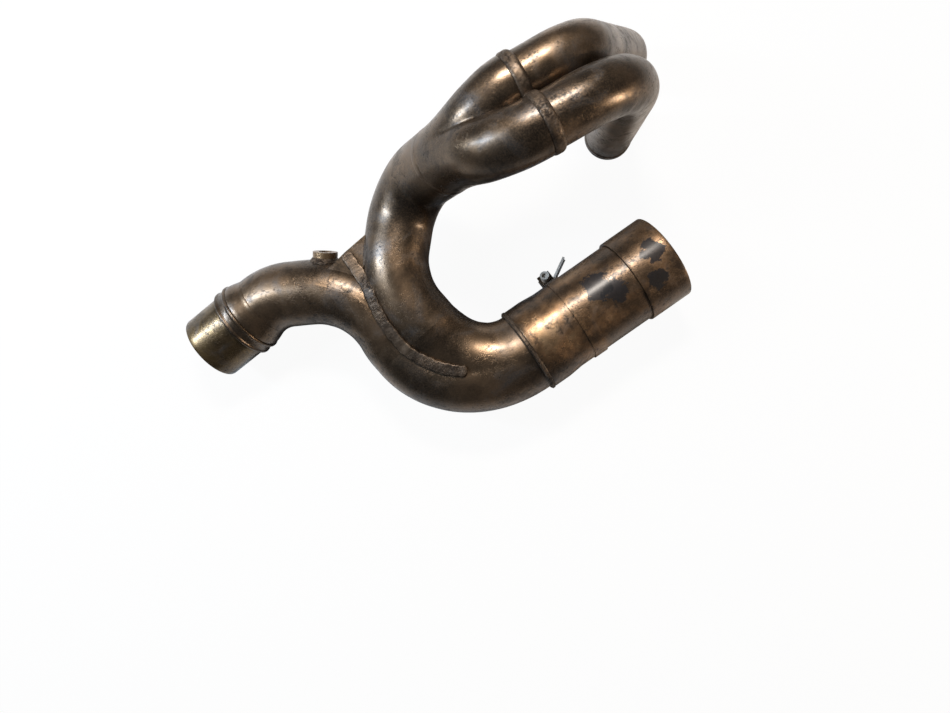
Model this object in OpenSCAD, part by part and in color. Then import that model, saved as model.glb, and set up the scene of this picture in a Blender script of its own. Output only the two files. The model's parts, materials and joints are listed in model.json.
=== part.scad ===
// Three-into-one exhaust header. The origin is the middle of the outlet's open end, +X is the way
// the gas leaves and +Z is up. It lies on its two legs, its inlet end and its outlet sleeve.
// A tube's route is a list of steps: straight length, roll of the bend about the tube, bend
// radius and bend angle. With a roll of 0 a bend turns toward the X axis of the run's frame.

/* [Outlet] */
// Outside diameter of the mid sleeve
mid_d = 68; // [66.5:0.5:69.5]
// How far the mid sleeve's flared end stands out all round
flare_rise = 1.2; // [0.8:0.1:3]
// Wall of the mid sleeve
mid_wall = 1.6; // [1.2:0.1:2.5]
// How far the outlet sleeve's bore steps out in front of the mid sleeve
outlet_step = 0.6; // [0.5:0.1:1]
// Wall of the outlet sleeve, which slips over the mid sleeve
outlet_wall = 1.8; // [1.2:0.1:3]
// Length of the outlet sleeve
outlet_len = 35; // [30:1:45]
// How far the mid sleeve reaches into the outlet sleeve
outlet_overlap = 14; // [8:1:20]
// Distance from the merge ring to the outlet's open end
outlet_run = 131; // [125:1:160]

/* [Clamp] */
// Width of the band clamp
band_w = 10.8; // [8:0.2:14]
// Thickness of the band
band_t = 1; // [0.6:0.1:1.8]
// Distance from the middle of the band to the outlet's open end
band_x = 83.5; // [75:0.5:88]
// How far below level the band's two ears point out
ear_drop = 25; // [10:1:35]
// Length of an ear
ear_len = 11; // [10:0.5:16]
// Thickness of an ear
ear_t = 1.8; // [1.2:0.1:3]
// Gap between the two ears
ear_gap = 5; // [3:0.5:8]
// Thread diameter of the clamp screw
screw_d = 5; // [4:0.5:6]
// Head diameter of the clamp screw
head_d = 7.6; // [7:0.1:9]
// Height of the screw head
head_h = 5; // [4:0.5:6]
// Length of the hook tab
hook_len = 19; // [10:1:28]
// Width of the hook tab
hook_w = 7; // [5:0.5:10]

/* [Merge] */
// How far the merged tube lies inside the mid sleeve's flared end
merged_inset = 2.2; // [1.8:0.1:4]
// Wall of the merge shell
merged_wall = 1.6; // [1.2:0.1:2]
// Width of the merge ring
ring_w = 7; // [5:0.5:10]
// How far the merge ring stands out from the flared end
ring_rise = 0.6; // [0.4:0.1:1.5]
// Roll of the merge bend
merge_roll = -7; // [-20:1:10]
// Radius of the merge bend
merge_r = 66; // [60:1:80]
// Angle of the merge bend
merge_angle = 83.5; // [70:0.5:88]
// Half the distance between branch and main tube where they part
split_half = 15; // [13:0.5:17]
// Roll that lifts the main tube over the branch
split_roll = -24; // [-40:1:0]
// Width of the raised seam weld
seam_w = 8; // [5:0.5:12]
// How far the seam weld stands out
seam_rise = 2.2; // [1:0.1:3]
// Where the seam weld ends on the merge shell, as a share of the merge bend
seam_stop = 0.47; // [0.3:0.01:0.7]
// How far the web's top face lies below the last point of the seam on the two tubes
web_drop = 3.65; // [2:0.05:6]
// Thickness of the web between branch and main tube
web_t = 3; // [2:0.5:4]

/* [Main tube] */
// Outside diameter of the main tube and the branch
tube_d = 50.8; // [48:0.2:52]
// Wall of the main tube and the branch
tube_wall = 1.5; // [1.2:0.1:2.5]
// Radius of the U bend
u_r = 62; // [58:1:80]
// Radius of the bend that turns the main tube upward
rise_r = 42; // [38:1:60]
// Straight stretch from that bend up to the neck weld
neck_len = 25; // [10:1:30]
// Width of the neck weld
neck_weld_w = 5; // [3:0.5:8]

/* [Upper primaries] */
// Outside diameter of a primary
primary_d = 38; // [36:0.1:38.2]
// Wall of a primary
primary_wall = 1.2; // [1:0.1:2]
// Half the distance between the two primaries at the collar
pair_half = 19.2; // [19.2:0.1:21]
// Roll of the pair of primaries about the collector's end
pair_roll = 120; // [105:1:135]
// Straight stretch of the collector
collector_len = 36.5; // [30:0.5:50]
// Radius of the collector's bend
collector_r = 42; // [38:1:60]
// Angle of the collector's bend
collector_angle = 54.5; // [45:0.5:60]
// Wall of the collector
collector_wall = 1.6; // [1.2:0.1:2]
// Length of the collar band along the primaries
collar_w = 9; // [6:0.5:12]
// How far the collar band stands out from the primaries
collar_rise = 2.4; // [1:0.1:4]
// Radius of the front primary's elbow
front_r = 50; // [45:1:60]
// Straight stretch of the front primary before its elbow
front_len = 26; // [15:1:40]
// How far the front leg leans out from upright
front_lean = 3; // [0:1:6]
// Radius of the rear primary's two bends
rear_r = 38; // [38:1:50]
// Straight stretch of the rear primary before its first bend
rear_len = 27; // [15:1:40]
// Angle of the rear primary's first bend
rear_angle = 58.5; // [50:0.5:65]
// Straight stretch of the rear primary between its bends
rear_slope_len = 88; // [70:1:95]
// How far the rear primary swings out to the side on its way down
rear_swing = 4; // [0:0.5:6]
// Length of the ring at each leg's end
leg_ring_len = 8; // [5:0.5:12]
// How far a leg ring stands out from its tube
leg_ring_rise = 0.4; // [0.2:0.1:1]

/* [Branch] */
// Length of the inlet socket
socket_len = 32; // [24:1:40]
// Outside diameter of the inlet socket
socket_d = 54; // [53:0.2:56]
// Length of the swaged collar between socket and bell
swage_len = 10.5; // [8:0.5:14]
// Outside diameter of the swaged collar
swage_d = 57; // [56.4:0.2:60]
// How far each rolled bead stands out from the swaged collar
bead_rise = 0.8; // [0.4:0.1:1.5]
// Length of the bell that narrows to the branch tube
bell_len = 14; // [8:1:20]
// Radius of the branch's long bend
branch_r = 61.5; // [55:0.5:75]
// Outside diameter of the sensor boss
boss_d = 19; // [16:0.5:22]
// Diameter of the threaded hole in the sensor boss
boss_hole_d = 10; // [8:0.5:12]
// How far the sensor boss stands out from the branch
boss_rise = 6; // [4:0.5:12]

/* [Hidden] */

// Sides of a bent tube and of the two pressed shells, and the longest turn between two sections
tube_sides = 32;
shell_sides = 40;
max_turn = 9;
sliver = 0.01;

// Frames are 4 by 4 matrices. Z runs along the tube, away from the outlet
function shift(v) = [[1, 0, 0, v.x], [0, 1, 0, v.y], [0, 0, 1, v.z], [0, 0, 0, 1]];
function roll_by(a) = [[cos(a), -sin(a), 0, 0], [sin(a), cos(a), 0, 0], [0, 0, 1, 0], [0, 0, 0, 1]];
function lean_by(a) = [[cos(a), 0, sin(a), 0], [0, 1, 0, 0], [-sin(a), 0, cos(a), 0], [0, 0, 0, 1]];
function ahead(len) = shift([0, 0, len]);
function turn_by(roll, r, a) = roll_by(roll) * shift([r * (1 - cos(a)), 0, r * sin(a)])
    * lean_by(a) * roll_by(-roll);
function step_by(s) = ahead(s[0]) * turn_by(s[1], s[2], s[3]);
function route_end(route, n) = n == 0 ? ahead(0) : route_end(route, n - 1) * step_by(route[n - 1]);
function end_of(route) = route_end(route, len(route));
// The frames at which a route is cut into sections
function cuts(s) = concat(s[0] > 0 ? [ahead(s[0])] : [],
    s[3] > 0 ? [for (k = [1:ceil(s[3] / max_turn)])
        ahead(s[0]) * turn_by(s[1], s[2], s[3] * k / ceil(s[3] / max_turn))] : []);
function stations(route) = concat([ahead(0)],
    [for (n = [0:len(route) - 1]) for (c = cuts(route[n])) route_end(route, n) * c]);
function roll_to_down(m) = atan2(-m[2][1], -m[2][0]);
function angle_to_down(m) = acos(-m[2][2]);
function spot(m, x, y) = [for (k = [0:2]) m[k][0] * x + m[k][1] * y + m[k][3]];

mid_flare_d = mid_d + 2 * flare_rise;
merged_d = mid_flare_d - 2 * merged_inset;
table_z = -(mid_flare_d / 2 + ring_rise);
upstream = [[0, 0, -1, 0], [1, 0, 0, 0], [0, -1, 0, 0], [0, 0, 0, 1]];
ring_frame = upstream * ahead(outlet_run);
merge_end = ring_frame * turn_by(merge_roll, merge_r, merge_angle);
main_start = merge_end * roll_by(merge_roll + split_roll) * shift([split_half, 0, 0])
    * roll_by(-merge_roll - split_roll);
branch_start = merge_end * roll_by(merge_roll + split_roll) * shift([-split_half, 0, 0])
    * roll_by(-merge_roll - split_roll);

main_route = [[14, 2, u_r, 50], [13, -65.5, rise_r, 78], [neck_len, 0, 0, 0]];
neck_frame = main_start * end_of(main_route);
collector_route = [[collector_len, 62.5, collector_r, collector_angle]];
collar_frame = neck_frame * end_of(collector_route);
front_start = collar_frame * roll_by(pair_roll) * shift([-pair_half, 0, 0]) * roll_by(-pair_roll);
rear_start = collar_frame * roll_by(pair_roll) * shift([pair_half, 0, 0]) * roll_by(-pair_roll);

front_elbow = [front_len, roll_to_down(front_start), front_r, angle_to_down(front_start) - front_lean];
front_drop = ((front_start * step_by(front_elbow))[2][3] - table_z
    - (primary_d / 2 + leg_ring_rise) * sin(front_lean)) / cos(front_lean);
front_route = [front_elbow, [front_drop - leg_ring_len, 0, 0, 0]];
rear_first = [rear_len, roll_to_down(rear_start) + rear_swing, rear_r, rear_angle];
rear_slope = rear_start * step_by(rear_first) * ahead(rear_slope_len);
rear_second = [rear_slope_len, roll_to_down(rear_slope), rear_r, angle_to_down(rear_slope)];
rear_drop = (rear_start * step_by(rear_first) * step_by(rear_second))[2][3] - table_z;
rear_route = [rear_first, rear_second, [rear_drop - leg_ring_len, 0, 0, 0]];

branch_route = [[3.5, -20.5, 52, 12.5], [1.5, 161.5, branch_r, 67], [17.5, 164, 43, 32]];
branch_end = branch_start * end_of(branch_route);

// The frame at distance s along a route, counted from its step n
function step_len(st) = st[0] + st[2] * st[3] * PI / 180;
function frame_at(route, s, n = 0) =
    n < len(route) - 1 && s > step_len(route[n])
        ? step_by(route[n]) * frame_at(route, s - step_len(route[n]), n + 1)
        : s <= route[n][0] ? ahead(s)
        : ahead(route[n][0]) * turn_by(route[n][1], route[n][2], (s - route[n][0]) / route[n][2] * 180 / PI);
function path_len(route, n = 0) = n == len(route) ? 0 : step_len(route[n]) + path_len(route, n + 1);

function tube_ring(m, r) = [for (j = [0:tube_sides - 1])
    spot(m, r * cos(360 * j / tube_sides), r * sin(360 * j / tube_sides))];

// How far a ray at angle a from the middle of the pair goes before it leaves the farther circle
function reach(r, e, a) = e * abs(cos(a)) + sqrt(max(0, r * r - pow(e * sin(a), 2)));
// The valley between the two lobes is eased by a small fillet
function lobe(r, e, a, fillet) = reach(r, e, a)
    + pow(max(0, fillet * e / r - 2 * e * abs(cos(a))), 2) / (4 * fillet * e / r + sliver);
function ease(u) = u * u * (3 - 2 * u);
function pair_ring(m, r, e, roll, fillet) = [for (k = [0:shell_sides - 1])
    let(a = 360 * k / shell_sides, q = lobe(r, e, a, fillet))
    spot(m * roll_by(roll), q * cos(a), q * sin(a))];

// A closed shell through two lists of rings, the outer one first
module ring_shell(outer, inner) {
    n = len(outer[0]);
    rows = len(outer);
    points = [for (ring = concat(outer, inner)) each ring];
    out = function(i, j) i * n + j % n;
    into = function(i, j) (rows + i) * n + j % n;
    sides = [for (i = [0:rows - 2]) for (j = [0:n - 1]) each [
        [out(i, j), out(i + 1, j), out(i + 1, j + 1)], [out(i, j), out(i + 1, j + 1), out(i, j + 1)],
        [into(i, j), into(i + 1, j + 1), into(i + 1, j)], [into(i, j), into(i, j + 1), into(i + 1, j + 1)]]];
    top = rows - 1;
    ends = [for (j = [0:n - 1]) each [
        [out(0, j), out(0, j + 1), into(0, j + 1)], [out(0, j), into(0, j + 1), into(0, j)],
        [out(top, j), into(top, j + 1), out(top, j + 1)], [out(top, j), into(top, j), into(top, j + 1)]]];
    polyhedron(points, concat(sides, ends));
}

module tube_run(m, route, d, wall) {
    frames = [for (c = stations(route)) m * c];
    ring_shell([for (c = frames) tube_ring(c, d / 2)], [for (c = frames) tube_ring(c, d / 2 - wall)]);
}

merge_rows = ceil(merge_angle / max_turn);
// The pair leans over only toward its end
function pair_lean(u) = (merge_roll + split_roll) * u * u;
function merged_r(u) = merged_d / 2 * (1 - ease(u)) + tube_d / 2 * ease(u);
function merge_at(u) = ring_frame * turn_by(merge_roll, merge_r, merge_angle * u);
function merge_ring_points(u, inset) = pair_ring(merge_at(u),
    merged_r(u) - inset, split_half * ease(u),
    pair_lean(u), 3);

module merge_shell() {
    color([0.33, 0.25, 0.17]) ring_shell(
        [for (k = [0:merge_rows]) merge_ring_points(k / merge_rows, 0)],
        [for (k = [0:merge_rows]) merge_ring_points(k / merge_rows, merged_wall)]);
}

collector_rows = 12;
collector_path = path_len(collector_route);
function collector_points(u, inset) = pair_ring(neck_frame * frame_at(collector_route, collector_path * u),
    tube_d / 2 * (1 - ease(u)) + (primary_d / 2 + collar_rise / 2) * ease(u) - inset,
    pair_half * ease(u), pair_roll, 2);

module y_collector() {
    color([0.36, 0.27, 0.18]) ring_shell(
        [for (k = [0:collector_rows]) collector_points(k / collector_rows, 0)],
        [for (k = [0:collector_rows]) collector_points(k / collector_rows, collector_wall)]);
}

module main_bend() {
    color([0.30, 0.23, 0.17]) tube_run(main_start, main_route, tube_d, tube_wall);
}

// The branch is coped: each line along it starts where it leaves the main tube's outside
cope_len = 62;
cope_gap = 0.3;
branch_rows = 17;
main_turn = main_start * ahead(main_route[0][0]) * roll_by(main_route[0][1]);
function seen_from(m, p) = [for (i = [0:2]) [for (k = [0:2]) m[k][i]] * [for (k = [0:2]) p[k] - m[k][3]]];
function off_main(p) = let(q = seen_from(main_turn, p))
    q.z < 0 ? norm([q.x, q.y]) : norm([norm([q.x - u_r, q.z]) - u_r, q.y]);
function branch_point(s, a, r) = spot(branch_start * frame_at(branch_route, s), r * cos(a), r * sin(a));
function is_free(s, a, r) = off_main(branch_point(s, a, r)) > tube_d / 2 + cope_gap;
function narrow(low, high, a, r, n) = n == 0 ? high
    : is_free((low + high) / 2, a, r) ? narrow(low, (low + high) / 2, a, r, n - 1)
    : narrow((low + high) / 2, high, a, r, n - 1);
function cope_at(a, r, s = cope_len) = s <= 0 ? 0
    : is_free(s, a, r) ? cope_at(a, r, s - 2)
    : narrow(s, s + 2, a, r, 7);
function branch_rings(r) = let(
        starts = [for (j = [0:tube_sides - 1]) cope_at(360 * j / tube_sides, r)],
        far = path_len(branch_route))
    [for (i = [0:branch_rows]) [for (j = [0:tube_sides - 1])
        branch_point(starts[j] + (far - starts[j]) * i / branch_rows, 360 * j / tube_sides, r)]];

module branch_tube() {
    color([0.32, 0.25, 0.18]) difference() {
        ring_shell(branch_rings(tube_d / 2), branch_rings(tube_d / 2 - tube_wall));
        multmatrix(boss_frame()) cylinder(d = boss_hole_d, h = tube_d, $fn = 48);
    }
}

module front_primary() {
    color([0.33, 0.24, 0.17]) tube_run(front_start, front_route, primary_d, primary_wall);
}

module rear_primary() {
    color([0.28, 0.22, 0.18]) tube_run(rear_start, rear_route, primary_d, primary_wall);
}

// A turned piece drawn as half its section, as [distance along the axis, radius] points
module turned(profile) {
    rotate_extrude($fn = 96) polygon([for (p = profile) [p[1], p[0]]]);
}

module outlet_sleeve() {
    lip = 0.6;
    r = mid_d / 2;
    bore = r + outlet_step;
    seat = outlet_len - outlet_overlap;
    color([0.38, 0.28, 0.18]) rotate([0, -90, 0]) turned([[0, bore], [0, r + outlet_wall - lip],
        [lip, r + outlet_wall], [outlet_len - lip, r + outlet_wall],
        [outlet_len, r + outlet_wall - lip], [outlet_len, r], [seat, r], [seat, bore]]);
}

module mid_sleeve() {
    start = outlet_len - outlet_overlap;
    end = outlet_run - ring_w / 2;
    flare = 14;
    taper = 12;
    r = mid_d / 2;
    f = mid_flare_d / 2;
    color([0.34, 0.26, 0.18]) rotate([0, -90, 0]) turned([[start, r - mid_wall], [start, r],
        [end - flare - taper, r], [end - flare, f], [end, f], [end, f - mid_wall],
        [end - flare, f - mid_wall], [end - flare - taper, r - mid_wall]]);
}

module merge_ring() {
    f = mid_flare_d / 2;
    inner = merged_d / 2 - merged_wall;
    color([0.26, 0.22, 0.18]) rotate([0, -90, 0]) turned([[outlet_run - ring_w / 2, inner],
        [outlet_run - ring_w / 2, f], [outlet_run - ring_w / 2 + 1, f + ring_rise],
        [outlet_run - 1, f + ring_rise], [outlet_run, f - 0.6], [outlet_run, inner]]);
}

// The clamp's own frame: X along the outlet, Y out through the gap between the ears
module at_clamp() {
    translate([-band_x, 0, 0]) rotate([-ear_drop, 0, 0]) children();
}

bolt_y = mid_d / 2 + band_t + ear_len - head_d / 2 - 0.6;

module clamp_band() {
    r = mid_d / 2;
    color([0.42, 0.38, 0.34]) at_clamp() difference() {
        union() {
            rotate([0, 90, 0]) translate([0, 0, -band_w / 2]) cylinder(r = r + band_t, h = band_w, $fn = 96);
            for (side = [-1, 1]) translate([-band_w / 2, r - 1, side * (ear_gap + ear_t) / 2 - ear_t / 2])
                cube([band_w, ear_len + 1 + band_t, ear_t]);
        }
        rotate([0, 90, 0]) translate([0, 0, -band_w]) cylinder(r = r, h = 2 * band_w, $fn = 96);
        translate([-band_w, 0, -ear_gap / 2]) cube([2 * band_w, r + 2 * ear_len, ear_gap]);
        translate([0, bolt_y, -ear_gap]) cylinder(d = screw_d + 0.4, h = 2 * ear_gap, $fn = 48);
    }
}

module hook_tab() {
    lean = 32;
    top = ear_gap / 2 + ear_t;
    color([0.62, 0.58, 0.52]) at_clamp()
        translate([band_w / 2 + ear_t * sin(lean), mid_d / 2 + band_t + 1, top - ear_t - 1]) rotate([0, 0, lean]) difference() {
            cube([hook_len, ear_t, hook_w - 2]);
            translate([hook_len - 2, -1, 2]) rotate([0, 35, 0]) cube([8, 2 * ear_t + 2, 12]);
        }
}

module clamp_screw() {
    top = ear_gap / 2 + ear_t;
    length = ear_gap + 2 * ear_t + 4;
    socket = 4;
    color([0.55, 0.52, 0.48]) at_clamp() translate([0, bolt_y, 0]) difference() {
        union() {
            translate([0, 0, top]) cylinder(d = head_d, h = head_h, $fn = 48);
            translate([0, 0, top - length]) cylinder(d = screw_d, h = length, $fn = 48);
        }
        translate([0, 0, top + head_h - 2.5]) cylinder(d = socket * 2 / sqrt(3), h = 3, $fn = 6);
    }
}

module clamp_nut() {
    across = 8;
    color([0.5, 0.47, 0.43]) at_clamp() translate([0, bolt_y, -ear_gap / 2 - ear_t - 4]) difference() {
        cylinder(d = across * 2 / sqrt(3), h = 4, $fn = 6);
        translate([0, 0, -1]) cylinder(d = screw_d, h = 6, $fn = 48);
    }
}

module neck_weld() {
    r = tube_d / 2;
    color([0.24, 0.21, 0.18]) multmatrix(neck_frame) turned([[-neck_weld_w, r],
        [-neck_weld_w / 2, r + 0.9], [0, r + 0.9], [0, r]]);
}

module collar_band() {
    r = primary_d / 2;
    color([0.25, 0.23, 0.21]) multmatrix(collar_frame * roll_by(pair_roll)) linear_extrude(collar_w)
        difference() {
            for (side = [-1, 1]) translate([side * pair_half, 0]) circle(r = r + collar_rise, $fn = 96);
            for (side = [-1, 1]) translate([side * pair_half, 0]) circle(r = r, $fn = 96);
        }
}

module leg_ring(m) {
    r = primary_d / 2;
    bore = r - primary_wall;
    bevel = 0.8;
    multmatrix(m) turned([[0, bore], [0, r], [bevel, r + leg_ring_rise],
        [leg_ring_len - bevel, r + leg_ring_rise], [leg_ring_len, r], [leg_ring_len, bore]]);
}

module front_leg_ring() {
    color([0.40, 0.30, 0.22]) leg_ring(front_start * end_of(front_route));
}

module rear_leg_ring() {
    color([0.40, 0.30, 0.22]) leg_ring(rear_start * end_of(rear_route));
}

module branch_bell() {
    r = tube_d / 2;
    s = swage_d / 2;
    color([0.33, 0.26, 0.19]) multmatrix(branch_end) turned([[0, r - tube_wall], [0, r],
        [bell_len - 2, s - 0.3], [bell_len, s - 0.3], [bell_len, s - 0.3 - tube_wall],
        [bell_len - 2, s - 0.3 - tube_wall]]);
}

module inlet_swage() {
    s = swage_d / 2;
    bead = 2.4;
    inner = socket_d / 2 - tube_wall;
    color([0.30, 0.24, 0.18]) multmatrix(branch_end * ahead(bell_len)) turned([[0, inner], [0, s],
        [0.6, s + bead_rise], [bead - 0.6, s + bead_rise], [bead, s], [swage_len - bead, s],
        [swage_len - bead + 0.6, s + bead_rise], [swage_len - 0.6, s + bead_rise],
        [swage_len, s], [swage_len, inner]]);
}

module inlet_socket() {
    r = socket_d / 2;
    chamfer = 0.5;
    color([0.36, 0.30, 0.18]) multmatrix(branch_end * ahead(bell_len + swage_len)) turned([
        [0, r - tube_wall], [0, r], [socket_len - chamfer, r], [socket_len, r - chamfer],
        [socket_len, r - tube_wall]]);
}

// The sensor boss stands on the back of the branch's long bend
boss_at = 58;
boss_side = branch_route[1][1] - 180;
function boss_frame() = long_bend * turn_by(branch_route[1][1], branch_r, boss_at) * roll_by(boss_side)
    * lean_by(90) * roll_by(40);
long_bend = branch_start * step_by(branch_route[0]) * ahead(branch_route[1][0]);

module sensor_boss() {
    height = tube_d / 2 + boss_rise;
    color([0.36, 0.29, 0.2]) difference() {
        multmatrix(boss_frame()) difference() {
            cylinder(d = boss_d, h = height, $fn = 64);
            translate([0, 0, -1]) cylinder(d = boss_hole_d, h = height + 2, $fn = 64);
        }
        long_bend_solid(30);
    }
}

// The weld fillet round the boss's foot, drawn as one turned ring that the branch cuts
module boss_weld() {
    leg = 2.2;
    low = tube_d / 2 - 4;
    color([0.27, 0.23, 0.19]) difference() {
        multmatrix(boss_frame()) turned([[low, boss_d / 2], [low, boss_d / 2 + leg],
            [tube_d / 2 - 1, boss_d / 2 + leg], [tube_d / 2 + leg - 0.6, boss_d / 2]]);
        long_bend_solid(30);
    }
}

module long_bend_solid(spare = 0) {
    bend_solid(branch_start * step_by(branch_route[0]), branch_route[1], tube_d, spare);
}

module bend_solid(m, route_step, d, spare = 0) {
    r = route_step[2];
    multmatrix(m * ahead(route_step[0]) * roll_by(route_step[1])) translate([r, 0, 0]) rotate([-90, 0, 0])
        rotate([0, 0, 180 - spare]) rotate_extrude(angle = route_step[3] + 2 * spare, $fn = 180)
            translate([r, 0]) circle(d = d, $fn = 96);
}

module straight_solid(m, len, d) {
    multmatrix(m) cylinder(d = d, h = len, $fn = 96);
}

// The seam weld lies this far off the tubes, and leaves them at this distance along their routes
seam_gap = 0.15;
seam_pair_end = 54;
function unit(v) = v / norm(v);
function axis_of(m, k) = [m[0][k], m[1][k], m[2][k]];
function ride_height(r, e) = sqrt(max(0, r * r - pow(e - seam_w / 2, 2))) + seam_gap;
// Main tube and branch at distance s, skewed until their two sections lie in one plane
function pair_at(s, skew) = [main_start * frame_at(main_route, s - skew),
    branch_start * frame_at(branch_route, s + skew)];
function pair_apart(p) = axis_of(p[0], 3) - axis_of(p[1], 3);
function pair_along(p) = unit(axis_of(p[0], 2) + axis_of(p[1], 2));
function seam_foot(s) = let(
        p = pair_at(s, pair_apart(pair_at(s, 0)) * pair_along(pair_at(s, 0)) / 2),
        apart = pair_apart(p),
        along = pair_along(p),
        across = unit(apart - along * (apart * along)),
        up = cross(across, along))
    [(axis_of(p[0], 3) + axis_of(p[1], 3)) / 2 + up * ride_height(tube_d / 2, norm(apart) / 2), across, up];
web_z = seam_foot(seam_pair_end)[0].z - web_drop;

// The flat web fills the fork between branch and main tube. Its corners are [x, y]
web_plan = [[-227, 136], [-202, 140.5], [-174, 143.5], [-178, 118], [-204, 94], [-222, 112]];
second_bend = main_start * step_by(main_route[0]);

module crotch_web() {
    color([0.31, 0.24, 0.18]) difference() {
        translate([0, 0, web_z - web_t]) linear_extrude(web_t) polygon(web_plan);
        bend_solid(main_start, main_route[0], tube_d);
        straight_solid(second_bend, main_route[1][0] + 1, tube_d);
        long_bend_solid();
        straight_solid(branch_start * step_by(branch_route[0]) * ahead(-2), 5, tube_d);
    }
}

// The seam weld rides on the crease of the pair and then along the middle of the web
function seam_row(mid, across, up, width) = [for (c = [[-0.5, 0], [0.5, 0], [0.5, 0.7], [0.38, 1],
    [-0.38, 1], [-0.5, 0.7]]) mid + across * c[0] * width + up * c[1] * seam_rise];
function seam_on_shell(u, width) = let(m = merge_at(u) * roll_by(pair_lean(u)), up = -axis_of(m, 1))
    seam_row(axis_of(m, 3) + up * ride_height(merged_r(u), split_half * ease(u)), axis_of(m, 0), up, width);
function seam_on_pair(s) = let(f = seam_foot(s)) seam_row(f[0], f[1], f[2], seam_w);
function seam_on_web(y) = seam_row([-202, y, web_z + 0.02], [1, 0, 0], [0, 0, 1], seam_w);

module seam_weld() {
    rows = concat(
        [for (k = [0:2]) seam_on_shell(seam_stop + 0.012 * k * k, seam_w * [0.45, 0.85, 1][k])],
        [for (u = [0.6, 0.7, 0.8, 0.9, 1]) seam_on_shell(u, seam_w)],
        [for (s = [6:6:seam_pair_end]) seam_on_pair(s)],
        [for (y = [121, 130, 139.5]) seam_on_web(y)]);
    n = len(rows[0]);
    last = len(rows) - 1;
    around = tube_d + 2 * seam_gap;
    color([0.24, 0.22, 0.2]) difference() {
        polyhedron([for (row = rows) each row], concat(
            [[for (j = [0:n - 1]) j], [for (j = [n - 1:-1:0]) last * n + j]],
            [for (i = [0:last - 1]) for (j = [0:n - 1]) each [
                [i * n + j, (i + 1) * n + j, (i + 1) * n + (j + 1) % n],
                [i * n + j, (i + 1) * n + (j + 1) % n, i * n + (j + 1) % n]]]));
        bend_solid(main_start, main_route[0], around);
        straight_solid(second_bend, main_route[1][0] + 1, around);
        bend_solid(branch_start * step_by(branch_route[0]), branch_route[1], around);
    }
}

outlet_sleeve();
mid_sleeve();
merge_ring();
clamp_band();
hook_tab();
clamp_screw();
clamp_nut();
merge_shell();
main_bend();
neck_weld();
y_collector();
collar_band();
front_primary();
rear_primary();
front_leg_ring();
rear_leg_ring();
branch_tube();
branch_bell();
inlet_swage();
inlet_socket();
sensor_boss();
boss_weld();
crotch_web();
seam_weld();
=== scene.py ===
import json
import math
from types import SimpleNamespace

import bpy
import numpy as np
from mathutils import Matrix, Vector


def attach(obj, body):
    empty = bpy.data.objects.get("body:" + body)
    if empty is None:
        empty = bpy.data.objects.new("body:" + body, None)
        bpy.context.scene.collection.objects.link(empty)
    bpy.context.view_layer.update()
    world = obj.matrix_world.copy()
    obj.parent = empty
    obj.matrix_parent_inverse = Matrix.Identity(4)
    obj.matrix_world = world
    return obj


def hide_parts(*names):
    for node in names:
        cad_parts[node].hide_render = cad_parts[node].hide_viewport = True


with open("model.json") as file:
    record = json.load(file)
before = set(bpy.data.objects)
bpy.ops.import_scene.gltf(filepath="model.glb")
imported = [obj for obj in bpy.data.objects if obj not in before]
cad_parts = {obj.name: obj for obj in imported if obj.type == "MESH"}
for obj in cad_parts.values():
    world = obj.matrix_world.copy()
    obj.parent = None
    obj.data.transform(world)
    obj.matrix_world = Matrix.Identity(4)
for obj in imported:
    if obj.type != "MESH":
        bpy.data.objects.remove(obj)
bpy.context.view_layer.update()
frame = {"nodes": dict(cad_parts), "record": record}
mm = 0.001

# The header's own sizes, in millimetres and degrees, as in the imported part
header = {
    "midR": 34, "midWall": 1.6, "flareR": 35.2, "flareFrom": 26, "flareTo": 14,
    "outletWall": 1.8, "outletBoreR": 34.6, "outletLen": 35, "overlap": 14,
    "ringAt": 131, "ringWidth": 7, "ringRise": 0.6,
    "mergedR": 33, "mergedWall": 1.6, "mergeRoll": -7, "mergeBendR": 66, "mergeAngle": 83.5,
    "splitHalf": 15, "splitRoll": -24,
    "tubeR": 25.4, "tubeWall": 1.5, "neckLen": 25,
    "primaryR": 19, "primaryWall": 1.2, "pairHalf": 19.2, "pairRoll": 120,
    "bandWidth": 9, "bandRise": 2.4, "legRingLen": 8, "legRingRise": 0.4,
    "frontLen": 26, "frontR": 50, "frontLean": 3,
    "rearLen": 27, "rearR": 38, "rearAngle": 58.5, "rearSlope": 88, "rearSwing": 4,
    "bellLen": 14, "swageLen": 10.5, "swageR": 28.5, "beadRise": 0.8,
    "socketLen": 32, "socketR": 27,
}
h = SimpleNamespace(**header)

# Each step of a route: a straight length, then the roll, radius and angle of a bend
mainRoute = [[14, 2, 62, 50], [13, -65.5, 42, 78], [h.neckLen, 0, 0, 0]]
collectorRoute = [[36.5, 62.5, 42, 54.5]]
branchRoute = [[3.5, -20.5, 52, 12.5], [1.5, 161.5, 61.5, 67], [17.5, 164, 43, 32]]

# How fine the meshes are: points round a piece, and millimetres between rows
fineness = {"shellSides": 96, "turnedSides": 128, "tubePitch": 2.0, "turnedPitch": 3}
lipEdge = 0.05        # share of a lip's width between its edge and the row that keeps the edge crisp
sharpAngle = 50       # edges between faces that meet more sharply are drawn sharp
cornerShare = 0.4     # most of a profile's side that a rounded corner may take


# Frames are 4 by 4 arrays, with Z along the tube and away from the outlet

def shift(x, y, z):
    m = np.eye(4)
    m[:3, 3] = (x, y, z)
    return m


def ahead(length):
    return shift(0, 0, length)


def rollBy(angle):
    c, s = math.cos(math.radians(angle)), math.sin(math.radians(angle))
    m = np.eye(4)
    m[:2, :2] = ((c, -s), (s, c))
    return m


def leanBy(angle):
    c, s = math.cos(math.radians(angle)), math.sin(math.radians(angle))
    m = np.eye(4)
    m[0, 0], m[0, 2], m[2, 0], m[2, 2] = c, s, -s, c
    return m


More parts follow.
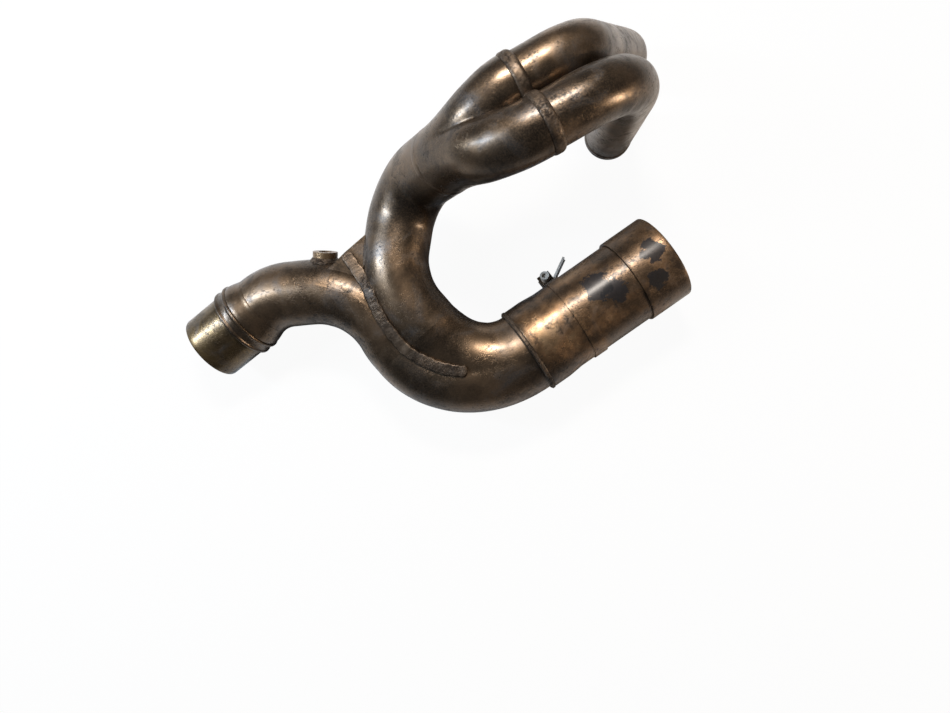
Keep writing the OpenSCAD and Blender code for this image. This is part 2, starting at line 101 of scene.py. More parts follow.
def turnBy(roll, radius, angle):
    a = math.radians(angle)
    return rollBy(roll) @ shift(radius * (1 - math.cos(a)), 0, radius * math.sin(a)) \
        @ leanBy(angle) @ rollBy(-roll)


def stepBy(step):
    return ahead(step[0]) @ turnBy(*step[1:])


def stepLen(step):
    return step[0] + math.radians(step[3]) * step[2]


def routeLen(route):
    return sum(stepLen(step) for step in route)


def frameAt(route, s):
    m = np.eye(4)
    for n, step in enumerate(route):
        if n < len(route) - 1 and s > stepLen(step):
            m = m @ stepBy(step)
            s -= stepLen(step)
            continue
        if s <= step[0] or not step[2]:
            return m @ ahead(s)
        return m @ ahead(step[0]) @ turnBy(step[1], step[2], math.degrees((s - step[0]) / step[2]))


def endOf(route):
    m = np.eye(4)
    for step in route:
        m = m @ stepBy(step)
    return m


def rollToDown(m):
    return math.degrees(math.atan2(-m[2, 1], -m[2, 0]))


def angleToDown(m):
    return math.degrees(math.acos(-m[2, 2]))


def apart(m, roll, half):
    return m @ rollBy(roll) @ shift(half, 0, 0) @ rollBy(-roll)


tableZ = -(h.flareR + h.ringRise)
upstream = np.array([[0, 0, -1, 0], [1, 0, 0, 0], [0, -1, 0, 0], [0, 0, 0, 1.0]])
ringFrame = upstream @ ahead(h.ringAt)
pairLean = h.mergeRoll + h.splitRoll


def mergeFrame(u):
    # From the merge ring at 0 to the two tubes side by side at 1
    return ringFrame @ turnBy(h.mergeRoll, h.mergeBendR, h.mergeAngle * u)


mainStart = apart(mergeFrame(1), pairLean, h.splitHalf)
branchStart = apart(mergeFrame(1), pairLean, -h.splitHalf)
branchEnd = branchStart @ endOf(branchRoute)
neckFrame = mainStart @ endOf(mainRoute)
collarFrame = neckFrame @ endOf(collectorRoute)
frontStart = apart(collarFrame, h.pairRoll, -h.pairHalf)
rearStart = apart(collarFrame, h.pairRoll, h.pairHalf)

frontElbow = [h.frontLen, rollToDown(frontStart), h.frontR, angleToDown(frontStart) - h.frontLean]
lean = math.radians(h.frontLean)
frontDrop = ((frontStart @ stepBy(frontElbow))[2, 3] - tableZ
             - (h.primaryR + h.legRingRise) * math.sin(lean)) / math.cos(lean)
frontRoute = [frontElbow, [frontDrop - h.legRingLen, 0, 0, 0]]
rearFirst = [h.rearLen, rollToDown(rearStart) + h.rearSwing, h.rearR, h.rearAngle]
slope = rearStart @ stepBy(rearFirst) @ ahead(h.rearSlope)
rearSecond = [h.rearSlope, rollToDown(slope), h.rearR, angleToDown(slope)]
rearDrop = (rearStart @ stepBy(rearFirst) @ stepBy(rearSecond))[2, 3] - tableZ
rearRoute = [rearFirst, rearSecond, [rearDrop - h.legRingLen, 0, 0, 0]]


def ease(u):
    return u * u * (3 - 2 * u)


def wobble(along, around, size, seed):
    # Slow unevenness of a bent tube's wall: along in millimetres, around in radians
    rng = np.random.default_rng(seed)
    out = np.zeros(np.broadcast(along, around).shape)
    for n in range(7):
        pitch, turns = rng.uniform(14, 60), rng.integers(1, 6)
        out += math.sin(n + 1) * 0.5 * np.sin(along * math.tau / pitch + turns * around + rng.uniform(0, 6))
    return out * size / 2


def inward(at, length, over):
    # Nothing at both ends of a length, rising to 1 over this much of it
    return min(1, at / over, (length - at) / over)


def meshPiece(name, points, faces):
    mesh = bpy.data.meshes.new(name)
    mesh.from_pydata((np.asarray(points) * mm).tolist(), [], faces)
    mesh.validate()
    mesh.polygons.foreach_set("use_smooth", [True] * len(mesh.polygons))
    mesh.set_sharp_from_angle(angle=math.radians(sharpAngle))
    piece = bpy.data.objects.new(name, mesh)
    bpy.context.collection.objects.link(piece)
    return piece


def gridFaces(rows, sides, flip=False, closedRows=False):
    i = np.arange(rows if closedRows else rows - 1)[:, None]
    j = np.arange(sides)[None, :]
    ni, nj = (i + 1) % rows, (j + 1) % sides
    quad = np.stack([i * sides + j, ni * sides + j, ni * sides + nj, i * sides + nj], -1)
    quad = quad.reshape(-1, 4)
    return (quad[:, ::-1] if flip else quad).tolist()


def ringAngles(sides):
    return np.arange(sides) * math.tau / sides


def ringPoints(m, r, a, z=0):
    # A closed outline of radii r at the angles a, in a frame
    flat = np.stack([r * np.cos(a), r * np.sin(a), z + 0 * a, 1 + 0 * a])
    return (m @ flat)[:3].T


def between(a, b, share):
    return a * (1 - share) + b * share


def shellPiece(name, frames, radii, wall, sides=fineness["shellSides"]):
    # frames: one for each row; radii(row, angles) gives the outline; wall is a number or such a function
    a = ringAngles(sides)
    outer, inner = [], []
    for k, m in enumerate(frames):
        r = radii(k, a)
        outer.append(ringPoints(m, r, a))
        inner.append(ringPoints(m, r - (wall(k, a) if callable(wall) else wall), a))
    # The loop goes up the outside, over the far lip, back inside and over the near lip
    farLip = [between(outer[-1], inner[-1], share) for share in (lipEdge, 1 - lipEdge)]
    nearLip = [between(outer[0], inner[0], share) for share in (1 - lipEdge, lipEdge)]
    rows = outer + farLip + inner[::-1] + nearLip
    return meshPiece(name, np.concatenate(rows), gridFaces(len(rows), sides, flip=True, closedRows=True))


bent = {"uneven": 0.12, "fade": 8}   # the depth of a bent wall's unevenness, and where it fades out


def bentRadius(radius, along, around, length, seed):
    waves = wobble(along, around, bent["uneven"], seed) - bent["uneven"] / 2
    return radius + waves * inward(along, length, bent["fade"])


def tubePiece(name, start, route, radius, wall, seed):
    length = routeLen(route)
    rows = max(3, int(length / fineness["tubePitch"]))
    s = np.linspace(0, length, rows + 1)
    frames = [start @ frameAt(route, x) for x in s]
    return shellPiece(name, frames, lambda k, a: bentRadius(radius, s[k], a, length, seed), wall)


def reach(r, e, a):
    # Outline of two circles of radius r, whose centres lie e to either side
    return e * np.abs(np.cos(a)) + np.sqrt(np.maximum(0, r * r - (e * np.sin(a)) ** 2))


def lobe(r, e, a, fillet):
    # The same with a rounded valley; the last 0.01 is there for a single circle
    soft = fillet * e / r
    return reach(r, e, a) + np.maximum(0, soft - 2 * e * np.abs(np.cos(a))) ** 2 / (4 * soft + 0.01)


def turnedPiece(name, m, profile, dents=0, seed=1, bevel=0.25):
    # A closed loop of [along, radius] points, turned about the frame's Z, with small rounded corners
    loop = []
    corners = [np.array(p, float) for p in profile]
    for k, p in enumerate(corners):
        before, after = corners[k - 1] - p, corners[(k + 1) % len(corners)] - p
        longBefore, longAfter = np.linalg.norm(before), np.linalg.norm(after)
        cut = min(bevel, longBefore * cornerShare, longAfter * cornerShare)
        into, out = p + before / longBefore * cut, p + after / longAfter * cut
        loop += [into, (into + out + 2 * p) / 4, out]
    dense = []
    for k, p in enumerate(loop):
        q = loop[(k + 1) % len(loop)]
        cuts = max(1, int(np.linalg.norm(q - p) / fineness["turnedPitch"]))
        dense += [p + (q - p) * i / cuts for i in range(cuts)]
    sides = fineness["turnedSides"]
    a = ringAngles(sides)
    rows = []
    for z, r in dense:
        rows.append(ringPoints(m, r + (wobble(z, a, dents, seed) - dents / 2 if dents else 0 * a), a, z))
    area = sum(p[0] * q[1] - q[0] * p[1] for p, q in zip(dense, dense[1:] + dense[:1]))
    return meshPiece(name, np.concatenate(rows),
                     gridFaces(len(rows), sides, flip=area > 0, closedRows=True))


print("shapes: tubes and pressed shells")

mainBend = tubePiece("mainBend", mainStart, mainRoute, h.tubeR, h.tubeWall, 3)
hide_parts("main_bend")

frontPrimary = tubePiece("frontPrimary", frontStart, frontRoute, h.primaryR, h.primaryWall, 5)
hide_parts("front_primary")
rearPrimary = tubePiece("rearPrimary", rearStart, rearRoute, h.primaryR, h.primaryWall, 8)
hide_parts("rear_primary")

merge = {"rows": 56, "fillet": 3, "uneven": 0.12, "long": 96, "fade": 1 / 8, "seed": 11}


def mergeRadius(u):
    return h.mergedR * (1 - ease(u)) + h.tubeR * ease(u)


def makeMergeShell():
    u = np.linspace(0, 1, merge["rows"] + 1)
    frames = [mergeFrame(x) @ rollBy(pairLean * x * x) for x in u]

    def outline(k, a):
        waves = wobble(u[k] * merge["long"], a, merge["uneven"], merge["seed"]) - merge["uneven"] / 2
        return lobe(mergeRadius(u[k]), h.splitHalf * ease(u[k]), a, merge["fillet"]) \
            + waves * inward(u[k], 1, merge["fade"])
    return shellPiece("mergeShell", frames, outline, h.mergedWall)


mergeShell = makeMergeShell()
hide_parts("merge_shell")

collector = {"rows": 60, "fillet": 2, "uneven": 0.1, "long": 76, "fade": 1 / 8, "seed": 21}


def makeCollector():
    length = routeLen(collectorRoute)
    u = np.linspace(0, 1, collector["rows"] + 1)
    frames = [neckFrame @ frameAt(collectorRoute, length * x) @ rollBy(h.pairRoll) for x in u]

    def outline(k, a):
        x = ease(u[k])
        r = h.tubeR * (1 - x) + (h.primaryR + h.bandRise / 2) * x
        waves = wobble(u[k] * collector["long"], a, collector["uneven"], collector["seed"])
        return lobe(r, h.pairHalf * x, a, collector["fillet"]) + waves * inward(u[k], 1, collector["fade"])
    return shellPiece("yCollector", frames, outline, h.mergedWall)


yCollector = makeCollector()
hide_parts("y_collector")

collar = {"rows": 14, "sides": 240, "crown": 0.88, "edge": 0.25, "sink": 0.1, "clear": 0.02,
          "ripples": 46, "ripple": 0.12, "slant": 9, "lumps": 0.35, "rough": 0.6, "seed": 41}


def makeCollarWeld():
    # A rough bead laid round both primaries, highest in the middle of its width
    t = np.linspace(0, 1, collar["rows"] + 1)
    frames = [collarFrame @ ahead(h.bandWidth * x) @ rollBy(h.pairRoll) for x in t]

    def outline(k, a):
        crown = collar["edge"] + (1 - collar["edge"]) * (1 - (2 * t[k] - 1) ** 4)
        ripple = np.sin(a * collar["ripples"] + collar["slant"] * t[k] + 2 * np.sin(a * 5)) * collar["ripple"]
        lumps = wobble(t[k] * h.bandWidth, a, collar["lumps"], collar["seed"])
        return lobe(h.primaryR + h.bandRise * crown * collar["crown"], h.pairHalf, a, 3) \
            + (ripple + lumps) * crown * collar["rough"] - collar["sink"]

    def thickness(k, a):
        inside = lobe(h.primaryR + collar["clear"], h.pairHalf, a, 2)
        return np.maximum(0.1, outline(k, a) - inside)
    return shellPiece("collarWeld", frames, outline, thickness, sides=collar["sides"])


collarWeld = makeCollarWeld()
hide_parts("collar_band")

branch = {"rows": 90, "cope": 62, "copeSteps": 124, "gap": 0.05, "seed": 31}


def makeBranch():
    # Each line along the branch starts where it leaves the main tube's outside
    sides, rows = fineness["shellSides"], branch["rows"]
    a = ringAngles(sides)
    toBend = np.linalg.inv(mainStart @ ahead(mainRoute[0][0]) @ rollBy(mainRoute[0][1]))
    bendR = mainRoute[0][2]
    far = routeLen(branchRoute)
    steps = np.linspace(0, branch["cope"], branch["copeSteps"] + 1)
    frames = [branchStart @ frameAt(branchRoute, s) for s in steps]

    def rings(r):
        starts = np.zeros(sides)
        for s, m in zip(steps, frames):
            p = toBend @ m @ np.stack([r * np.cos(a), r * np.sin(a), 0 * a, 1 + 0 * a])
            offBend = np.hypot(np.hypot(p[0] - bendR, p[2]) - bendR, p[1])
            offTube = np.where(p[2] < 0, np.hypot(p[0], p[1]), offBend)
            starts = np.where(offTube < h.tubeR + branch["gap"], s, starts)
        out = np.zeros((rows + 1, sides, 3))
        for i in range(rows + 1):
            s = starts + (far - starts) * i / rows
            for j in range(sides):
                m = branchStart @ frameAt(branchRoute, s[j])
                q = bentRadius(r, s[j], a[j], far, branch["seed"])
                out[i, j] = (m @ np.array([q * math.cos(a[j]), q * math.sin(a[j]), 0, 1]))[:3]
        return out
    points = np.concatenate([rings(h.tubeR), rings(h.tubeR - h.tubeWall)[::-1]]).reshape(-1, 3)
    return meshPiece("branchTube", points, gridFaces(2 * rows + 2, sides, flip=True, closedRows=True))


branchTube = makeBranch()
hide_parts("branch_tube")

seam = {"width": 8, "spread": 1.15, "rise": 2.2, "gap": 0.15, "sink": 1.0, "from": 0.53, "pairEnd": 54,
        "webX": -202, "webY": (121, 130, 139.5), "webZ": 27.02,
        "shellKeys": 9, "pairStep": 6, "smoothings": 3, "sides": 40, "endLen": 4, "top": 0.15,
        "grain": 0.05, "ripples": (0.10, 2.3), "swells": (0.08, 0.8), "seed": 61}


def seamRide(r, e):
    # Height at which the bead's edges clear two tubes of radius r, whose centres lie e to either side
    return math.sqrt(max(0, r * r - (e - seam["width"] / 2) ** 2)) + seam["gap"]


def shellKey(u):
    m = mergeFrame(u) @ rollBy(pairLean * u * u)
    return m[:3, 3] - m[:3, 1] * seamRide(mergeRadius(u), h.splitHalf * ease(u)), m[:3, 0], -m[:3, 1]


def pairKey(s):
    # The two tubes part at an angle, so each is taken where it lies level with the other
    skew = 0
    for turn in range(2):
        main = mainStart @ frameAt(mainRoute, s - skew)
        side = branchStart @ frameAt(branchRoute, s + skew)
        gap = main[:3, 3] - side[:3, 3]
        along = main[:3, 2] + side[:3, 2]
        along /= np.linalg.norm(along)
        skew = gap @ along / 2
    across = gap - along * (gap @ along)
    across /= np.linalg.norm(across)
    up = np.cross(across, along)
    foot = (main[:3, 3] + side[:3, 3]) / 2 + up * seamRide(h.tubeR, np.linalg.norm(gap) / 2)
    return foot, across, up


def seamKeys():
    # Middle, across and up of the bead at stations from the merge shell over the pair to the web
    keys = [shellKey(u) for u in np.linspace(seam["from"], 1, seam["shellKeys"])]
    keys += [pairKey(s) for s in range(seam["pairStep"], seam["pairEnd"] + 1, seam["pairStep"])]
    for y in seam["webY"]:
        keys.append((np.array([seam["webX"], y, seam["webZ"]]), np.array([1, 0, 0]), np.array([0, 0, 1])))
    return keys


def makeSeamWeld():
    keys = seamKeys()
    middles = np.array([k[0] for k in keys])
    walk = np.concatenate([[0], np.cumsum(np.linalg.norm(np.diff(middles, axis=0), axis=1))])
    fine = np.linspace(0, walk[-1], int(walk[-1]))

    def spread(values):
        return np.stack([np.interp(fine, walk, np.array(values)[:, i]) for i in range(3)], 1)
    mid, across, up = spread(middles), spread([k[1] for k in keys]), spread([k[2] for k in keys])
    for n in range(seam["smoothings"]):
        mid[1:-1] = (mid[:-2] + 2 * mid[1:-1] + mid[2:]) / 4
    sides = seam["sides"]
    a = ringAngles(sides)
    # A rounded oblong, flat on top
    wide = np.sign(np.cos(a)) * np.abs(np.cos(a)) ** 0.35 / 2
    high = np.sign(np.sin(a)) * np.abs(np.sin(a)) ** 0.4
    rng = np.random.default_rng(seam["seed"])
    rows = []
    for k, s in enumerate(fine):
        near = min(s, walk[-1] - s)
        full = math.sqrt(max(0.02, 1 - max(0, 1 - near / seam["endLen"]) ** 2))
        uneven = 1 + 0.05 * math.sin(s * 0.9) + 0.04 * math.sin(s * 0.37 + 2)
        width = seam["width"] * seam["spread"] * full * uneven
        grain = rng.normal(0, seam["grain"], sides) \
            + seam["ripples"][0] * np.sin(s * seam["ripples"][1] + 3 * wide) \
            + seam["swells"][0] * np.sin(s * seam["swells"][1])
        crest = (seam["rise"] - seam["top"]) * high * (0.75 + 0.25 * full) + grain * high
        lift = np.where(high > 0, crest, seam["sink"] * high)
        rows.append(mid[k] + across[k] * (wide * width)[:, None] + up[k] * lift[:, None])
    last = (len(rows) - 1) * sides
    caps = [list(range(sides)), [last + j for j in range(sides - 1, -1, -1)]]
    return meshPiece("seamWeld", np.concatenate(rows), gridFaces(len(rows), sides, flip=True) + caps)


seamWeld = makeSeamWeld()
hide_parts("seam_weld")

print("shapes: turned sleeves and rings")

outletR = h.midR + h.outletWall
seatAt = h.outletLen - h.overlap   # the mid sleeve starts here, inside the outlet sleeve
outletSleeve = turnedPiece("outletSleeve", upstream, [
    [0, h.outletBoreR], [0, outletR], [h.outletLen, outletR],
    [h.outletLen, h.midR], [seatAt, h.midR], [seatAt, h.outletBoreR]], bevel=0.5)
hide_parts("outlet_sleeve")

flareEnd = h.ringAt - h.ringWidth / 2
flareFrom, flareTo = flareEnd - h.flareFrom, flareEnd - h.flareTo
midSleeve = turnedPiece("midSleeve", upstream, [
    [seatAt, h.midR - h.midWall], [seatAt, h.midR], [flareFrom, h.midR], [flareTo, h.flareR],
    [flareEnd, h.flareR], [flareEnd, h.flareR - h.midWall], [flareTo, h.flareR - h.midWall],
    [flareFrom, h.midR - h.midWall]], bevel=1.2)
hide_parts("mid_sleeve")

socketStart = branchEnd @ ahead(h.bellLen + h.swageLen)
socketBoreR = h.socketR - h.tubeWall
inletSocket = turnedPiece("inletSocket", socketStart, [
    [0, socketBoreR], [0, h.socketR], [h.socketLen, h.socketR], [h.socketLen, socketBoreR]], bevel=0.6)
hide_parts("inlet_socket")

neck = {"width": 5, "shoulder": 1, "rise": 0.2, "sink": 0.02}
neckWeld = turnedPiece("neckWeld", neckFrame, [
    [-neck["width"], h.tubeR - neck["sink"]],
    [neck["shoulder"] - neck["width"], h.tubeR + neck["rise"] - neck["sink"]],
    [-neck["shoulder"], h.tubeR + neck["rise"]], [0, h.tubeR - neck["sink"]]], dents=0.12, seed=51)
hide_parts("neck_weld")

swage = {"beadFrom": 0.7, "beadTo": 2, "waist": 3, "sink": 0.3}
beadR, waistR = h.swageR + h.beadRise, h.swageR - swage["sink"]
inletSwage = turnedPiece("inletSwage", branchEnd @ ahead(h.bellLen), [
    [0, socketBoreR], [0, h.swageR], [swage["beadFrom"], beadR], [swage["beadTo"], beadR],
    [swage["waist"], waistR], [h.swageLen - swage["waist"], waistR],
    [h.swageLen - swage["beadTo"], beadR], [h.swageLen - swage["beadFrom"], beadR],
    [h.swageLen, h.swageR], [h.swageLen, socketBoreR]], bevel=0.5)
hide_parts("inlet_swage")

bell = {"run": 3, "start": 0.15, "step": 0.2, "lip": 2}
branchBell = turnedPiece("branchBell", branchEnd, [
    [0, h.tubeR - h.tubeWall], [0, h.tubeR], [bell["run"], h.tubeR + bell["start"]],
    [h.bellLen - bell["run"], waistR - bell["step"]], [h.bellLen, waistR],
    [h.bellLen, waistR - h.tubeWall], [h.bellLen - bell["lip"], waistR - h.tubeWall]], bevel=1.5)
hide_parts("branch_bell")

for o in [o for o in bpy.data.objects if o.type == "MESH"]:
    if o.name not in frame["nodes"]:
        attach(o, "root")


print("materials")


class Wire:
    # A shader socket that takes part in plain arithmetic

    def __init__(self, paint, socket):
        self.paint, self.socket = paint, socket

    def math(self, operation, *values):
        return self.paint.node("Math", {"operation": operation}, dict(enumerate(values)))

    def __add__(self, other):
        return self.math("ADD", self, other)

    __radd__ = __add__

    def __sub__(self, other):
        return self.math("SUBTRACT", self, other)

    def __rsub__(self, other):
        return self.math("SUBTRACT", other, self)

    def __mul__(self, other):
        return self.math("MULTIPLY", self, other)

    __rmul__ = __mul__


class Paint:
    # One material and the nodes in it

    def __init__(self, name):
        self.material = bpy.data.materials.new(name)
        self.material.use_nodes = True
        self.tree = self.material.node_tree
        self.tree.nodes.clear()

    def node(self, kind, settings=None, sockets=None, out=0):
        n = self.tree.nodes.new("ShaderNode" + kind)
        for key, value in (settings or {}).items():
            if key == "stops":
                ramp = n.color_ramp
                while len(ramp.elements) < len(value):
                    ramp.elements.new(0.5)
                for stop, (at, shade) in zip(ramp.elements, value):
                    stop.position = at
                    stop.color = (*shade, 1)
            else:
                setattr(n, key, value)
        for key, value in (sockets or {}).items():
            if isinstance(value, Wire):
                self.tree.links.new(value.socket, n.inputs[key])
            elif n.inputs[key].type == "RGBA":
                n.inputs[key].default_value = (*value, 1)
            else:
                n.inputs[key].default_value = value
        return Wire(self, n.outputs[out])

    def noise(self, where, scale, detail=4, roughness=0.55, distortion=0):
        return self.node("TexNoise", {}, {"Vector": where, "Scale": scale, "Detail": detail,
                                          "Roughness": roughness, "Distortion": distortion})

    def step(self, value, low, high):
        return self.node("MapRange", {"interpolation_type": "SMOOTHSTEP"}, {
            "Value": value, "From Min": low, "From Max": high})

    def mix(self, factor, a, b):
        # Sockets 0, 6 and 7 of a colour Mix are its factor and the two colours, and output 2 the colour
        return self.node("Mix", {"data_type": "RGBA"}, {0: factor, 6: a, 7: b}, out=2)

    def finish(self, surface):
        out = self.tree.nodes.new("ShaderNodeOutputMaterial")
        self.tree.links.new(surface.socket, out.inputs["Surface"])
        return self.material


# Sizes are noise scales, so a larger number gives a finer pattern; ranges run from none to full
tubeLook = {
    "clouds": 15, "cloudRange": (0.3, 0.72),
    "tones": [(0.0, (0.020, 0.015, 0.011)), (0.35, (0.045, 0.032, 0.021)),
              (0.65, (0.085, 0.058, 0.036)), (1.0, (0.15, 0.098, 0.058))],
    "film": 2.3, "filmRange": (0.52, 0.72), "blue": 0.5, "blueShade": (0.070, 0.075, 0.082),
    "grain": 900, "grainRange": (0.35, 0.75), "grainShare": 0.35, "light": (0.20, 0.135, 0.085),
    "pitSize": 420, "pits": 0.6, "pitShare": 0.85, "dark": (0.008, 0.006, 0.005),
    "region": 34, "regionRange": (0.42, 0.6), "regionShift": (0.31, 0.17, 0.05),
    "smudgeSize": 52, "smudgeRange": (0.50, 0.66), "smudge": 0.55,
    "metal": 0.9, "rough": 0.27, "bump": 0.25, "coat": 0.25, "soot": [],
}
sleeveLook = {
    **tubeLook, "clouds": 24, "blue": 0.3, "rough": 0.31, "smudge": 0.75,
    "tones": [(0.0, (0.030, 0.020, 0.013)), (0.4, (0.075, 0.047, 0.027)),
              (0.7, (0.16, 0.092, 0.046)), (1.0, (0.24, 0.16, 0.09))],
    # The soot spots on top of the sleeves: x, y, z and radius, in metres
    "soot": [(-0.062, 0.012, 0.032, 0.011), (-0.053, 0.001, 0.034, 0.009),
             (-0.013, 0.010, 0.035, 0.010), (-0.022, -0.010, 0.034, 0.007)],
}
socketLook = {
    **tubeLook, "clouds": 26, "blue": 0.5, "rough": 0.25,
    "tones": [(0.0, (0.030, 0.021, 0.010)), (0.5, (0.080, 0.052, 0.022)), (1.0, (0.15, 0.10, 0.042))],
}
weldLook = {
    **tubeLook, "clouds": 60, "blue": 0.15, "light": (0.18, 0.13, 0.09), "rough": 0.42,
    "bump": 0.8, "pits": 1.5, "coat": 0.05,
    "tones": [(0.0, (0.022, 0.016, 0.012)), (0.5, (0.055, 0.040, 0.029)), (1.0, (0.11, 0.08, 0.056))],
}
brightLook = {
    **tubeLook, "clouds": 40, "blue": 0.1, "light": (0.8, 0.77, 0.72), "rough": 0.42, "smudge": 0.1,
    "metal": 0.5,
    "tones": [(0.0, (0.42, 0.38, 0.33)), (0.5, (0.55, 0.51, 0.46)), (1.0, (0.6, 0.57, 0.52))],
}
sootLook = {"shade": (0.012, 0.012, 0.014), "cover": 0.93, "edgeSize": 130, "ragged": 2.6, "rough": 0.2}


def heatSteel(name, look):
    # Brown steel: cloudy heat tints, a bluish film, fine grain, pits and smudges, with soot spots on top
    p = Paint(name)
    where = p.node("TexCoord", out="Object")
    elsewhere = p.node("Mapping", {}, {"Vector": where, "Location": look["regionShift"]})
    clouds = p.noise(where, look["clouds"], 5, 0.6)
    film = p.noise(where, look["clouds"] * look["film"], 4, 0.6, 0.6)
    grain = p.noise(where, look["grain"], 3, 0.6)
    pits = p.noise(where, look["pitSize"], 5, 0.72)
    region = p.noise(elsewhere, look["region"], 4, 0.65)
    smears = p.noise(elsewhere, look["smudgeSize"], 6, 0.72, 0.4)

    tone = p.node("ValToRGB", {"stops": look["tones"]}, {"Fac": p.step(clouds, *look["cloudRange"])})
    blued = p.mix(p.step(film, *look["filmRange"]) * look["blue"], tone, look["blueShade"])
    fine = p.mix(p.step(grain, *look["grainRange"]) * look["grainShare"], blued, look["light"])
    pitMask = p.step(pits, 0.56 - look["pits"] * 0.1, 0.68) * p.step(region, *look["regionRange"])
    smudge = p.step(smears, *look["smudgeRange"]) * look["smudge"]
    colour = p.mix(smudge, p.mix(pitMask * look["pitShare"], fine, look["dark"]), look["dark"])
    rough = look["rough"] + 0.18 * p.step(film, 0.35, 0.7) + 0.25 * pitMask + 0.22 * smudge
    height = grain * 0.3 + (1 - pitMask) * 1.0 + film * 0.8
    for x, y, z, radius in look["soot"]:
        far = p.node("VectorMath", {"operation": "DISTANCE"}, {0: where, 1: (x, y, z)}, out="Value")
        edge = p.noise(where, sootLook["edgeSize"], 5, 0.7)
        inSpot = p.step(far * (1 / radius) + (edge - 0.5) * sootLook["ragged"], 1.05, 0.9)
        colour = p.mix(inSpot * sootLook["cover"], colour, sootLook["shade"])
        rough = rough + sootLook["rough"] * inSpot
    bump = p.node("Bump", {}, {"Strength": look["bump"], "Distance": 0.0004, "Height": height})
    return p.finish(p.node("BsdfPrincipled", {}, {
        "Base Color": colour, "Metallic": look["metal"], "Roughness": rough, "Normal": bump,
        "Coat Weight": look["coat"], "Coat Roughness": 0.25}))


tubeSteel = heatSteel("heatTintedTube", tubeLook)
sleeveSteel = heatSteel("heatTintedSleeve", sleeveLook)
socketSteel = heatSteel("oliveSocket", socketLook)
weldSteel = heatSteel("greyWeld", weldLook)
brightSteel = heatSteel("brightHook", brightLook)

finishes = {
    "tube_steel": tubeSteel, "pressed_steel": tubeSteel, "sleeve_steel": sleeveSteel,
    "socket_steel": socketSteel, "weld_steel": weldSteel, "clamp_steel": sleeveSteel,
    "bright_steel": brightSteel,
}
slotOf = {row["node"]: row["material_slot"] for row in frame["record"]["subparts"]}
for name, node in frame["nodes"].items():
    for k in range(len(node.material_slots)):
        node.material_slots[k].material = finishes[slotOf[name]]

made = {
    mainBend: "tube_steel", frontPrimary: "tube_steel", rearPrimary: "tube_steel",
    branchTube: "tube_steel", branchBell: "tube_steel", neckWeld: "tube_steel", inletSwage: "tube_steel",
    mergeShell: "pressed_steel", yCollector: "pressed_steel", outletSleeve: "sleeve_steel",
    midSleeve: "sleeve_steel", inletSocket: "socket_steel", collarWeld: "weld_steel", seamWeld: "weld_steel",
}
for piece, slotName in made.items():
    piece.data.materials.append(finishes[slotName])

print("stage, lights and camera")

# How the photograph was taken: its width and focal length in pixels, the camera's height above the
# table and the outlet's place right and up of the middle in millimetres, and the turn in degrees
# from the outlet's axis to the photograph's right
photo = {"width": 950, "focal": 714, "height": 600, "outletX": 148, "outletY": 78.7, "turn": 34.9}
turned = math.radians(photo["turn"])


def inPhoto(x, y, z):
    # A point given right, up and toward the camera from the middle of the picture at the table
    dx, dy = x - photo["outletX"], y - photo["outletY"]
    return ((dx * math.cos(turned) + dy * math.sin(turned)) * mm,
            (-dx * math.sin(turned) + dy * math.cos(turned)) * mm, (z + tableZ) * mm)


table = {"size": 6.0, "drop": 0.0002, "shade": (0.5, 0.5, 0.5), "glow": (1.0, 1.0, 1.0), "glowShare": 0.95}
floorPaint = Paint("paleFloor")
seen = floorPaint.node("LightPath", out="Is Camera Ray")
diffuse = floorPaint.node("BsdfDiffuse", {}, {"Color": table["shade"]})
glow = floorPaint.node("Emission", {}, {"Color": table["glow"], "Strength": 1.0})
floorShade = floorPaint.node("MixShader", {}, {0: seen * table["glowShare"], 1: diffuse, 2: glow})
bpy.ops.mesh.primitive_plane_add(size=table["size"], location=(0, 0, tableZ * mm - table["drop"]))
floor = bpy.context.object
floor.name = "paleTable"
floor.data.materials.append(floorPaint.finish(floorShade))

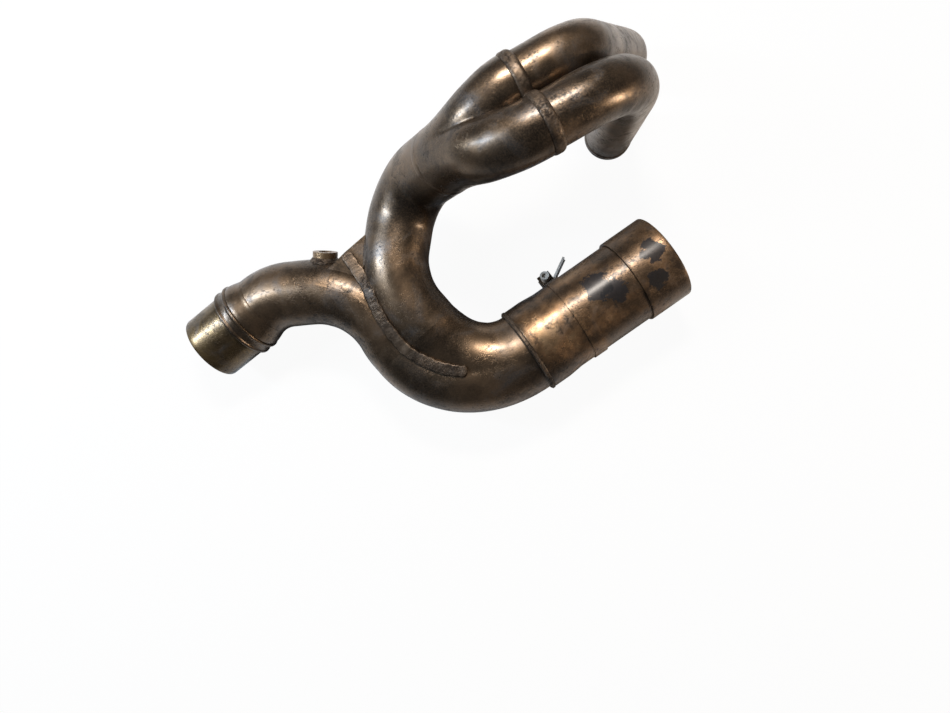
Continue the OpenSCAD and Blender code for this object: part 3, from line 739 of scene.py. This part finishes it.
lamps = {
    "windowLamp": {"at": (-60, 560, 780), "size": (240, 110), "power": 12, "tint": (1.0, 0.92, 0.83)},
    "leftLamp": {"at": (-760, 160, 620), "size": (120, 420), "power": 11, "tint": (0.72, 0.85, 1.0)},
    "rightLamp": {"at": (900, -60, 300), "size": (90, 340), "power": 5, "tint": (1.0, 0.80, 0.60)},
}
aimAt = Vector(inPhoto(0, 60, 40))
for name, lamp in lamps.items():
    data = bpy.data.lights.new(name, "AREA")
    data.shape = "RECTANGLE"
    data.size, data.size_y = lamp["size"][0] * mm, lamp["size"][1] * mm
    data.energy, data.color = lamp["power"], lamp["tint"]
    light = bpy.data.objects.new(name, data)
    bpy.context.collection.objects.link(light)
    light.location = inPhoto(*lamp["at"])
    light.rotation_mode = "QUATERNION"
    light.rotation_quaternion = (aimAt - light.location).to_track_quat("-Z", "Y")

# White for the camera, and a faint cool light for everything else
studio = {"shade": (0.9, 0.93, 1.0, 1), "strength": 0.10, "white": (1, 1, 1, 1)}
world = bpy.data.worlds.new("plainStudio")
bpy.context.scene.world = world
world.use_nodes = True
sky = world.node_tree
backdrop = sky.nodes["Background"]
backdrop.inputs["Color"].default_value = studio["shade"]
backdrop.inputs["Strength"].default_value = studio["strength"]
white = sky.nodes.new("ShaderNodeBackground")
white.inputs["Color"].default_value = studio["white"]
seenSky = sky.nodes.new("ShaderNodeLightPath")
choose = sky.nodes.new("ShaderNodeMixShader")
sky.links.new(seenSky.outputs["Is Camera Ray"], choose.inputs[0])
sky.links.new(backdrop.outputs[0], choose.inputs[1])
sky.links.new(white.outputs[0], choose.inputs[2])
sky.links.new(choose.outputs[0], sky.nodes["World Output"].inputs[0])

camera = bpy.data.objects.new("photoCamera", bpy.data.cameras.new("photoCamera"))
bpy.context.collection.objects.link(camera)
camera.data.sensor_width = 36
camera.data.lens = camera.data.sensor_width * photo["focal"] / photo["width"]
camera.data.clip_start, camera.data.clip_end = 0.01, 20
camera.location = inPhoto(0, 0, photo["height"])
camera.rotation_euler = (0, 0, -turned)
bpy.context.scene.camera = camera
bpy.context.scene.view_settings.view_transform = "Standard"

print("done")
